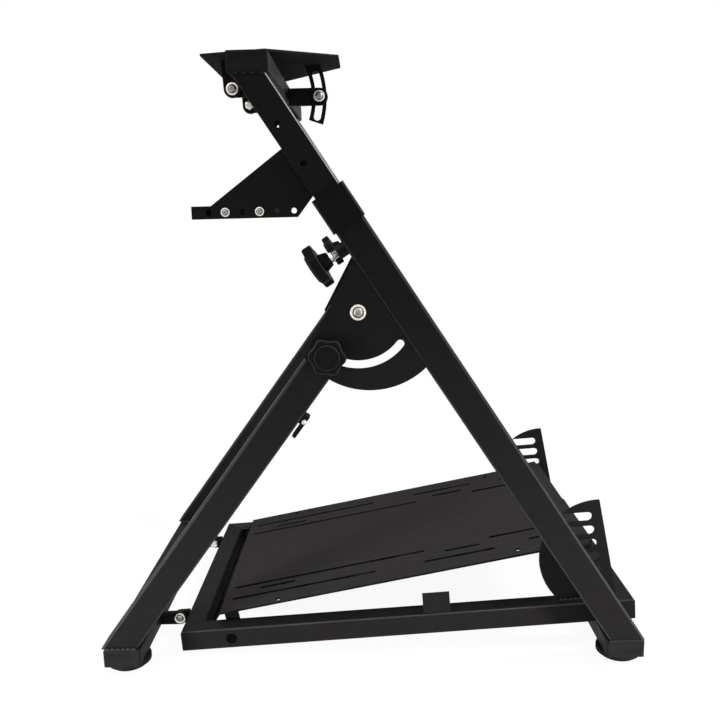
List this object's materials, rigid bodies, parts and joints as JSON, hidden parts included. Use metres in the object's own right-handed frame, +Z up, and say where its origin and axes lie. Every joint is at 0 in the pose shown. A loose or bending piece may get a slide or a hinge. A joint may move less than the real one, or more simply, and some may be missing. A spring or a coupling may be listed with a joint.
{
  "type": "foldable racing wheel stand",
  "caption": "Folding A-frame stand of square tube with a telescopic mast, tilting wheel plate, shifter shelf and hinged pedal base with a slotted sloping pedal plate.",
  "frame": {"origin": "on the floor under the middle of the stand's box", "axes": "+X away from the driver, +Y to the driver's left, +Z up"},
  "size_m": [0.74, 0.5484, 0.8315],
  "materials": {
    "frame_paint": "satin black powder coat",
    "plate_paint": "fine-textured black powder coat",
    "zinc_bolt": "zinc plated",
    "black_bolt": "black oxide",
    "knob_plastic": "matte black",
    "collar_plastic": "satin black",
    "cap_plastic": "satin black",
    "foot_rubber": "matte black"
  },
  "bodies": {
    "main_frame": {"collar_left": "collar_plastic", "collar_right": "collar_plastic", "height_knob_left": "knob_plastic", "height_knob_right": "knob_plastic", "main_leg_left": "frame_paint", "main_leg_right": "frame_paint", "pivot_plate_left": "frame_paint", "pivot_plate_right": "frame_paint", "rear_cap_left": "cap_plastic", "rear_cap_right": "cap_plastic", "rear_foot_bar": "frame_paint", "rear_pad_left": "foot_rubber", "rear_pad_right": "foot_rubber"},
    "mast": {"mast_tube_left": "frame_paint", "mast_tube_right": "frame_paint", "shifter_gusset": "frame_paint", "shifter_shelf": "frame_paint", "tilt_arm": "frame_paint", "tilt_bolt": "zinc_bolt", "top_cap_left": "cap_plastic", "top_cap_right": "cap_plastic", "top_cross_bar": "frame_paint", "wheel_hinge_bolt_left": "zinc_bolt", "wheel_hinge_bolt_right": "zinc_bolt"},
    "wheel_mount": {"tilt_bracket": "frame_paint", "wheel_hinge_tab_left": "frame_paint", "wheel_hinge_tab_right": "frame_paint", "wheel_plate": "frame_paint"},
    "front_legs": {"base_hinge_bolt_left": "zinc_bolt", "base_hinge_bolt_right": "zinc_bolt", "fold_catch": "frame_paint", "front_cap_left": "cap_plastic", "front_cap_right": "cap_plastic", "front_foot_bar": "frame_paint", "front_leg_left": "frame_paint", "front_leg_right": "frame_paint", "front_pad_left": "foot_rubber", "front_pad_right": "foot_rubber", "leg_knob_left": "knob_plastic", "leg_knob_right": "knob_plastic", "pivot_bolt_left": "zinc_bolt", "pivot_bolt_right": "zinc_bolt"},
    "pedal_base": {"base_cross_front": "frame_paint", "base_cross_rear": "frame_paint", "base_side_left": "frame_paint", "base_side_right": "frame_paint", "keeper_tab": "frame_paint", "pedal_plate": "plate_paint", "plate_bolt_left": "black_bolt", "plate_bolt_right": "black_bolt", "quadrant_left": "frame_paint", "quadrant_right": "frame_paint"}
  },
  "joints": [
    {"name": "mast_slide", "type": "slide", "parent": "main_frame", "child": "mast", "axis": [-0.5388, 0, 0.8425], "range_m": [0, 0.13]},
    {"name": "wheel_tilt", "type": "hinge", "parent": "mast", "child": "wheel_mount", "pos_m": [-0.17526, 0, 0.78201], "axis": [0, -1, 0], "range_deg": [-14, 14]},
    {"name": "leg_fold", "type": "hinge", "parent": "main_frame", "child": "front_legs", "pos_m": [-0.00795, 0, 0.48761], "axis": [0, -1, 0], "range_deg": [0, 64]},
    {"name": "pedal_base_fold", "type": "hinge", "parent": "front_legs", "child": "pedal_base", "pos_m": [-0.286, 0, 0.0235], "axis": [0, -1, 0], "range_deg": [0, 50]}
  ]
}
